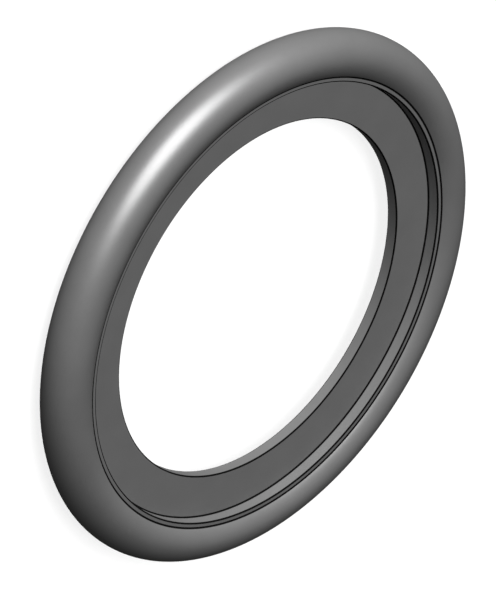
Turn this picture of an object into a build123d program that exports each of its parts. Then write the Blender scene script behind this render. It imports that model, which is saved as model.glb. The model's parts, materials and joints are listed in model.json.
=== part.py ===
from build123d import *
import os
from math import sqrt

# Flanged o-ring, moulded in one piece: a round sealing bead with a thin flat flange inside it.
# Lengths are in millimetres. The ring lies flat, its axis on +Z and its middle plane at Z = 0,
# and its two sides are alike.

bore_diameter = 30.0  # hole through the flange
flange_width = 3.5  # radial, from the bore to the wall of the recess
flange_thickness = 1.0
land_width = 0.43  # radial, the flat ring between the recess and the foot of the bead
cord_diameter = 4.0  # section of the sealing bead
squeeze = 0.5  # height of the bead above the land, on each side
corner_radius = 0.1  # mould radius at each corner of the section

# Radii from the axis, working outwards from the bore.
bore_radius = bore_diameter / 2
recess_radius = bore_radius + flange_width
bead_foot_radius = recess_radius + land_width

# Heights above the middle plane.
flange_height = flange_thickness / 2
cord_radius = cord_diameter / 2
land_height = cord_radius - squeeze

# The cord's circle runs through both feet of the bead and is centred on the middle plane.
cord_centre_radius = bead_foot_radius + sqrt(cord_radius**2 - land_height**2)
outer_radius = cord_centre_radius + cord_radius

with BuildPart() as o_ring:
    with BuildSketch(Plane.XZ) as section:
        with BuildLine():
            Polyline(
                (bead_foot_radius, land_height),
                (recess_radius, land_height),
                (recess_radius, flange_height),
                (bore_radius, flange_height),
                (bore_radius, -flange_height),
                (recess_radius, -flange_height),
                (recess_radius, -land_height),
                (bead_foot_radius, -land_height),
            )
            ThreePointArc(
                (bead_foot_radius, -land_height),
                (outer_radius, 0),
                (bead_foot_radius, land_height),
            )
        make_face()
        fillet(section.vertices(), radius=corner_radius)
    revolve(axis=Axis.Z)

o_ring.part.label = "o_ring"

os.makedirs("parts", exist_ok=True)
export_step(o_ring.part, "parts/o_ring.step")
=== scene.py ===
import json
from math import atan, atan2, cos, degrees, hypot, pi, radians, sin, sqrt

import bpy
from mathutils import Matrix, Vector


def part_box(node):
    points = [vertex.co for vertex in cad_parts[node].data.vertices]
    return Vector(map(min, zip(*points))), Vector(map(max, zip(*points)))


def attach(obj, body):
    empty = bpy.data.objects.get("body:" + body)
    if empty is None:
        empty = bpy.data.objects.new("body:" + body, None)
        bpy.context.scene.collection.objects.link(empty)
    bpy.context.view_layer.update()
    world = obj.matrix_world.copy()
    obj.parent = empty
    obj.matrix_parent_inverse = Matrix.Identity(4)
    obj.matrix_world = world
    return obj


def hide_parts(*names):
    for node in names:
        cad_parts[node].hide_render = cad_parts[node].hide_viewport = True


# Flanged o-ring lying flat: a round sealing bead round a thin flat flange, moulded in one piece.
# Lengths are in metres, and the ring's axis is +Z.

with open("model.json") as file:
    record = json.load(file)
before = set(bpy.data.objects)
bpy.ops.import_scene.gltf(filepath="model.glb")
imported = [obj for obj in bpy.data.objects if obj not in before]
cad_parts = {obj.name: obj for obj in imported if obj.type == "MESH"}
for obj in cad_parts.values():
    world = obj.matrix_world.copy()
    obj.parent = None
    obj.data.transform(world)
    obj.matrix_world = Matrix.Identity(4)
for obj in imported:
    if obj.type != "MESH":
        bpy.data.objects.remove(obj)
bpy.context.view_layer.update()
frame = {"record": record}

MM = 0.001

# The section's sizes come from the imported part.
mounts = {mount["name"]: mount for mount in frame["record"]["mounts"]}
low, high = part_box("o_ring")
BORE_RADIUS = mounts["bore"]["dims"]["r_mm"] * MM
RECESS_RADIUS = mounts["upper_recess"]["dims"]["r_mm"] * MM
FLANGE_HEIGHT = mounts["upper_flange_face"]["pos_m"][2]
LAND_HEIGHT = mounts["upper_land"]["pos_m"][2]
CORD_RADIUS = high.z
OUTER_RADIUS = high.x
CORD_CENTRE = OUTER_RADIUS - CORD_RADIUS
BEAD_FOOT_RADIUS = CORD_CENTRE - sqrt(CORD_RADIUS**2 - LAND_HEIGHT**2)
CORNER_RADIUS = 0.1 * MM  # the rounding of every corner, as on the part

# How finely the ring's mesh is divided.
STEPS_AROUND = 384
BEAD_STEP = radians(2.5)
CORNER_STEPS = 5
FACE_ROWS = 6  # across the flange's flat face
FLAT_MARGIN = 0.03 * MM  # a row of points this close to a flat's ends keeps it flat


def arc(centre, radius, start, end, steps):
    """Points (r, z) on a circle of the section, from one angle to another."""
    angles = [start + (end - start) * i / steps for i in range(steps + 1)]
    return [(centre[0] + radius * cos(a), centre[1] + radius * sin(a)) for a in angles]


def flat(start, end, rows=1):
    """Points (r, z) inside a straight stretch of the section, with one close to each end."""
    run = (end[0] - start[0], end[1] - start[1])
    margin = FLAT_MARGIN / hypot(*run)
    shares = [margin] + [i / rows for i in range(1, rows)] + [1 - margin]
    return [(start[0] + run[0] * share, start[1] + run[1] * share) for share in shares]


def upper_section():
    """The section above the middle plane, from the bore to the bead's outermost point."""
    c = CORNER_RADIUS
    bore_edge = arc((BORE_RADIUS + c, FLANGE_HEIGHT - c), c, pi, pi / 2, CORNER_STEPS)
    recess_foot = arc((RECESS_RADIUS - c, FLANGE_HEIGHT + c), c, -pi / 2, 0, CORNER_STEPS)
    land_edge = arc((RECESS_RADIUS + c, LAND_HEIGHT - c), c, pi, pi / 2, CORNER_STEPS)

    # The corner at the bead's foot touches the land from above and the cord's circle from outside.
    foot_height = LAND_HEIGHT + c
    foot_reach = sqrt((CORD_RADIUS + c) ** 2 - foot_height**2)
    foot_angle = atan2(foot_height, -foot_reach)
    foot_centre = (CORD_CENTRE - foot_reach, foot_height)
    bead_foot = arc(foot_centre, c, -pi / 2, foot_angle - pi, CORNER_STEPS)
    bead = arc((CORD_CENTRE, 0), CORD_RADIUS, foot_angle, 0, round(foot_angle / BEAD_STEP))

    middle = (BORE_RADIUS, 0)
    return (
        [middle] + flat(middle, bore_edge[0])[1:]
        + bore_edge + flat(bore_edge[-1], recess_foot[0], FACE_ROWS)
        + recess_foot + flat(recess_foot[-1], land_edge[0])
        + land_edge + flat(land_edge[-1], bead_foot[0])
        + bead_foot + bead[1:]
    )


def whole_section():
    """The closed section: the upper half, and its mirror image below the middle plane."""
    upper = upper_section()
    lower = [(r, -z) for r, z in reversed(upper[1:-1])]
    return upper + lower


def revolved(name, section):
    """A smooth mesh of a closed section turned about the Z axis."""
    count = len(section)
    angles = [2 * pi * i / STEPS_AROUND for i in range(STEPS_AROUND)]
    points = [(r * cos(a), r * sin(a), z) for a in angles for r, z in section]
    faces = []
    for i in range(STEPS_AROUND):
        here = i * count
        there = (i + 1) % STEPS_AROUND * count
        for j in range(count):
            k = (j + 1) % count
            faces.append((here + j, here + k, there + k, there + j))
    mesh = bpy.data.meshes.new(name)
    mesh.from_pydata(points, [], faces)
    mesh.polygons.foreach_set("use_smooth", [True] * len(faces))
    made = bpy.data.objects.new(name, mesh)
    bpy.context.scene.collection.objects.link(made)
    return made


# Shader helpers


def add_node(tree, kind, **settings):
    made = tree.nodes.new(kind)
    for key, value in settings.items():
        setattr(made, key, value)
    return made


def feed(tree, socket, value):
    """Link another node's output to a socket, or set the socket to a plain value."""
    if isinstance(value, bpy.types.NodeSocket):
        tree.links.new(value, socket)
    else:
        socket.default_value = value


def math_node(tree, operation, *values):
    made = add_node(tree, "ShaderNodeMath", operation=operation)
    for socket, value in zip(made.inputs, values):
        feed(tree, socket, value)
    return made.outputs[0]


def length_node(tree, a, b):
    """The length of the vector (a, b)."""
    squares = [math_node(tree, "MULTIPLY", value, value) for value in (a, b)]
    return math_node(tree, "SQRT", math_node(tree, "ADD", *squares))


def noise_node(tree, place, scale, detail, dimensions="3D"):
    made = add_node(tree, "ShaderNodeTexNoise", noise_dimensions=dimensions)
    feed(tree, made.inputs["W" if dimensions == "1D" else "Vector"], place)
    feed(tree, made.inputs["Scale"], scale)
    feed(tree, made.inputs["Detail"], detail)
    return made.outputs["Fac"]


def range_node(tree, value, source, target, interpolation="LINEAR"):
    """A value carried from one range to another."""
    made = add_node(tree, "ShaderNodeMapRange", interpolation_type=interpolation)
    feed(tree, made.inputs["Value"], value)
    for name, number in zip(("From Min", "From Max", "To Min", "To Max"), (*source, *target)):
        feed(tree, made.inputs[name], number)
    return made.outputs["Result"]


def mix_node(tree, share, first, second):
    made = add_node(tree, "ShaderNodeMixShader")
    feed(tree, made.inputs["Fac"], share)
    feed(tree, made.inputs[1], first)
    feed(tree, made.inputs[2], second)
    return made.outputs["Shader"]


def grey_node(tree, kind, grey, **inputs):
    """A shader of one plain grey, with its other inputs by name."""
    made = add_node(tree, kind)
    feed(tree, made.inputs["Color"], (grey, grey, grey, 1))
    for name, value in inputs.items():
        feed(tree, made.inputs[name], value)
    return made.outputs[0]


# Rubber: dark and satin, with patterns whose lengths are in millimetres.

BASE_GREY = 0.10
IOR = 2.04
GLOSS = 0.5
ROUGHNESS = 0.41
ROUGHNESS_SPREAD = 0.02
RELIEF = 0.0025 * MM  # of the grain and the turning marks together

CLOUD_NOISE = (0.35, 3.0)  # each noise's scale and detail
GRAIN_NOISE = (6.0, 3.0)
TURNED_NOISE = (5.0, 2.0)
NOISE_RANGE = (0.3, 0.7)  # where nearly all of a noise's values lie
CLOUD_TONE = (0.96, 1.04)
GRAIN_TONE = (0.985, 1.015)

# The corner lines are painted shade: near-black, duller bands along the section's corners.
PAINTED_SHADE_TONE = 0.03
LINE_ROUGHNESS = 0.55  # how much rougher a line is than the rest
LINE_WIDTH = (0.09, 0.11)  # distance from a line's middle at which it starts to fade, and ends
BORE_LINE = (0.01, 1)  # how far a line lies outwards of its corner, and its width against the others'
RECESS_LINE = (0, 1.1)
LAND_LINE = (0.02, 1)
FOOT_LINE = (0, 0.87)


def surface_place(tree):
    """A point's place in millimetres, its radius, and its height above or below the middle plane."""
    scaled = add_node(tree, "ShaderNodeVectorMath", operation="SCALE")
    feed(tree, scaled.inputs["Vector"], add_node(tree, "ShaderNodeTexCoord").outputs["Object"])
    feed(tree, scaled.inputs["Scale"], 1 / MM)
    place = scaled.outputs["Vector"]
    split = add_node(tree, "ShaderNodeSeparateXYZ")
    feed(tree, split.inputs["Vector"], place)
    radius = length_node(tree, split.outputs["X"], split.outputs["Y"])
    height = math_node(tree, "ABSOLUTE", split.outputs["Z"])
    return place, radius, height


def painted_corner_shade(tree, radius, height):
    """A mask of painted shade: 1 along the section's corners, on both sides of the ring, and 0
    elsewhere.
    """
    corners = (
        (BORE_RADIUS, FLANGE_HEIGHT, BORE_LINE),
        (RECESS_RADIUS, FLANGE_HEIGHT, RECESS_LINE),
        (RECESS_RADIUS, LAND_HEIGHT, LAND_LINE),
        (BEAD_FOOT_RADIUS, LAND_HEIGHT, FOOT_LINE),
    )
    distances = []
    for corner_radius, corner_height, (shift, width) in corners:
        across = math_node(tree, "SUBTRACT", radius, corner_radius / MM + shift)
        above = math_node(tree, "SUBTRACT", height, corner_height / MM)
        distance = length_node(tree, across, above)
        distances.append(math_node(tree, "DIVIDE", distance, width))
    nearest = distances.pop()
    for distance in distances:
        nearest = math_node(tree, "MINIMUM", nearest, distance)
    return range_node(tree, nearest, LINE_WIDTH, (1, 0), "SMOOTHSTEP")


def rubber():
    """Cloudy in tone, finely grained, faintly turned, and darker and duller along its corners, where
    the darkness is painted shade.
    """
    material = bpy.data.materials.new("moulded_rubber")
    material.use_nodes = True
    tree = material.node_tree
    shader = tree.nodes["Principled BSDF"]
    feed(tree, shader.inputs["IOR"], IOR)

    place, radius, height = surface_place(tree)
    painted_shade = painted_corner_shade(tree, radius, height)
    cloud = noise_node(tree, place, *CLOUD_NOISE)
    grain = noise_node(tree, place, *GRAIN_NOISE)
    turned = noise_node(tree, radius, *TURNED_NOISE, "1D")

    tones = (
        range_node(tree, cloud, NOISE_RANGE, CLOUD_TONE),
        range_node(tree, grain, NOISE_RANGE, GRAIN_TONE),
        # the corners darkened with painted shade
        range_node(tree, painted_shade, (0, 1), (1, PAINTED_SHADE_TONE)),
    )
    grey = BASE_GREY
    for tone in tones:
        grey = math_node(tree, "MULTIPLY", tone, grey)
    colour = add_node(tree, "ShaderNodeCombineColor")
    for channel in ("Red", "Green", "Blue"):
        feed(tree, colour.inputs[channel], grey)
    feed(tree, shader.inputs["Base Color"], colour.outputs["Color"])

    # the painted shade along the corners also loses its gloss
    gloss = range_node(tree, painted_shade, (0, 1), (GLOSS, 0))
    feed(tree, shader.inputs["Specular IOR Level"], gloss)

    roughness_range = (ROUGHNESS - ROUGHNESS_SPREAD, ROUGHNESS + ROUGHNESS_SPREAD)
    grain_roughness = range_node(tree, grain, NOISE_RANGE, roughness_range)
    line_roughness = math_node(tree, "MULTIPLY", painted_shade, LINE_ROUGHNESS)
    feed(tree, shader.inputs["Roughness"], math_node(tree, "ADD", grain_roughness, line_roughness))

    patterns = (grain, turned)
    bump = add_node(tree, "ShaderNodeBump")
    feed(tree, bump.inputs["Distance"], RELIEF / len(patterns))
    feed(tree, bump.inputs["Height"], math_node(tree, "ADD", *patterns))
    feed(tree, shader.inputs["Normal"], bump.outputs["Normal"])
    return material


ring = revolved("moulded_ring", whole_section())
ring.data.materials.append(rubber())
ring.visible_glossy = False  # the flange keeps one even tone, with no mirrored wall on it
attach(ring, "root")
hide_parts("o_ring")

# Studio: white to the camera all round, dim to the object, with the floor still taking its shadow.

FLOOR_SIZE = 1.2
FLOOR_BOUNCE = 0.02  # the floor's colour where its light falls back on the ring
FLOOR_COLOUR = 0.5  # its colour where it is seen, with a glow added
FLOOR_GLOW = 0.32
WORLD_DIM = 0.03
GLOSS_SHARE = 0.02  # how much of the white the ring's own gloss picks up


def sees_white(tree):
    """1 for camera and transmission rays, the gloss's share for glossy rays, and 0 for the rest."""
    path = add_node(tree, "ShaderNodeLightPath").outputs
    gloss = math_node(tree, "MULTIPLY", path["Is Glossy Ray"], GLOSS_SHARE)
    straight = math_node(tree, "MAXIMUM", path["Is Camera Ray"], path["Is Transmission Ray"])
    return math_node(tree, "MAXIMUM", straight, gloss)


def floor_material():
    material = bpy.data.materials.new("pale_floor")
    material.use_nodes = True
    tree = material.node_tree
    tree.nodes.clear()
    bounce = grey_node(tree, "ShaderNodeBsdfDiffuse", FLOOR_BOUNCE)
    shaded = grey_node(tree, "ShaderNodeBsdfDiffuse", FLOOR_COLOUR)
    glow = grey_node(tree, "ShaderNodeEmission", 1, Strength=FLOOR_GLOW)
    both = add_node(tree, "ShaderNodeAddShader")
    feed(tree, both.inputs[0], shaded)
    feed(tree, both.inputs[1], glow)
    seen = mix_node(tree, sees_white(tree), bounce, both.outputs[0])
    out = add_node(tree, "ShaderNodeOutputMaterial")
    feed(tree, out.inputs["Surface"], seen)
    return material


def studio_floor(height):
    half = FLOOR_SIZE / 2
    corners = [(x, y, height) for x, y in ((-half, -half), (half, -half), (half, half), (-half, half))]
    mesh = bpy.data.meshes.new("floor")
    mesh.from_pydata(corners, [], [(0, 1, 2, 3)])
    mesh.materials.append(floor_material())
    floor = bpy.data.objects.new("floor", mesh)
    bpy.context.scene.collection.objects.link(floor)
    return floor


def studio_world():
    world = bpy.data.worlds.new("studio")
    world.use_nodes = True
    tree = world.node_tree
    tree.nodes.clear()
    dim = grey_node(tree, "ShaderNodeBackground", 1, Strength=WORLD_DIM)
    white = grey_node(tree, "ShaderNodeBackground", 1, Strength=1)
    out = add_node(tree, "ShaderNodeOutputWorld")
    feed(tree, out.inputs["Surface"], mix_node(tree, sees_white(tree), dim, white))
    bpy.context.scene.world = world


def towards(azimuth, elevation):
    """The direction at that azimuth, in degrees from -Y towards +X, and elevation."""
    a, e = radians(azimuth), radians(elevation)
    return Vector((sin(a) * cos(e), -cos(a) * cos(e), sin(e)))


def soft_light(name, azimuth, elevation, strength, angle, shadow=False, glossy=False):
    """A distant lamp in that direction. Its angle in degrees says how soft it is."""
    light = bpy.data.lights.new(name, "SUN")
    light.energy = strength
    light.angle = radians(angle)
    light.use_shadow = shadow
    lamp = bpy.data.objects.new(name, light)
    lamp.visible_glossy = glossy
    lamp.rotation_mode = "QUATERNION"
    lamp.rotation_quaternion = towards(azimuth, elevation).to_track_quat("Z", "Y")
    bpy.context.scene.collection.objects.link(lamp)
    return lamp


def light_the_ring():
    """Lamps without shadows, so that the bead doesn't darken the recess beside it."""
    soft_light("key", azimuth=-35, elevation=30, strength=6.3, angle=53, glossy=True)
    soft_light("low_fill", azimuth=-46, elevation=10, strength=1.8, angle=4)
    soft_light("side_fill", azimuth=-61, elevation=2, strength=1.1, angle=4)
    # The last one shines from behind the ring and lights only what is turned from the camera.
    soft_light("back_fill", azimuth=180, elevation=-30, strength=1.8, angle=20)


def light_the_floor(floor):
    """One lamp for the floor alone, where it leaves the ring's soft shadow."""
    lamp = soft_light("floor_light", azimuth=-35, elevation=60, strength=1.45, angle=40, shadow=True)
    lit = bpy.data.collections.new("lit_by_floor_light")
    lit.objects.link(floor)
    lamp.light_linking.receiver_collection = lit


studio_world()
light_the_ring()
light_the_floor(studio_floor(low.z))

# Camera: isometric, from the -Y side, rolled so that the ring's axis points down to the right.

FIELD = 45.96 * MM  # the picture's long side at the ring
LENS = 1300  # long enough that the view is all but parallel
SENSOR = 36
CLIP_FACTOR = 2  # nothing is seen at under half or over twice the ring's distance
ELEVATION = degrees(atan(sqrt(1 / 2)))
ROLL = 120
OFFSET = (-0.474 * MM, -0.362 * MM)  # of the picture's middle from the ring's, rightwards and upwards


def photo_camera():
    back = towards(0, ELEVATION)
    level = Vector((1, 0, 0))
    roll = radians(ROLL)
    right = level * cos(roll) + back.cross(level) * sin(roll)
    up = back.cross(right)
    distance = FIELD * LENS / SENSOR
    data = bpy.data.cameras.new("camera")
    data.lens = LENS
    data.sensor_width = SENSOR
    data.clip_start = distance / CLIP_FACTOR
    data.clip_end = distance * CLIP_FACTOR
    camera = bpy.data.objects.new("camera", data)
    place = back * distance + right * OFFSET[0] + up * OFFSET[1]
    turn = Matrix((right, up, back)).transposed().to_4x4()
    camera.matrix_world = Matrix.Translation(place) @ turn
    bpy.context.scene.collection.objects.link(camera)
    bpy.context.scene.camera = camera


photo_camera()
bpy.context.scene.view_settings.view_transform = "Standard"
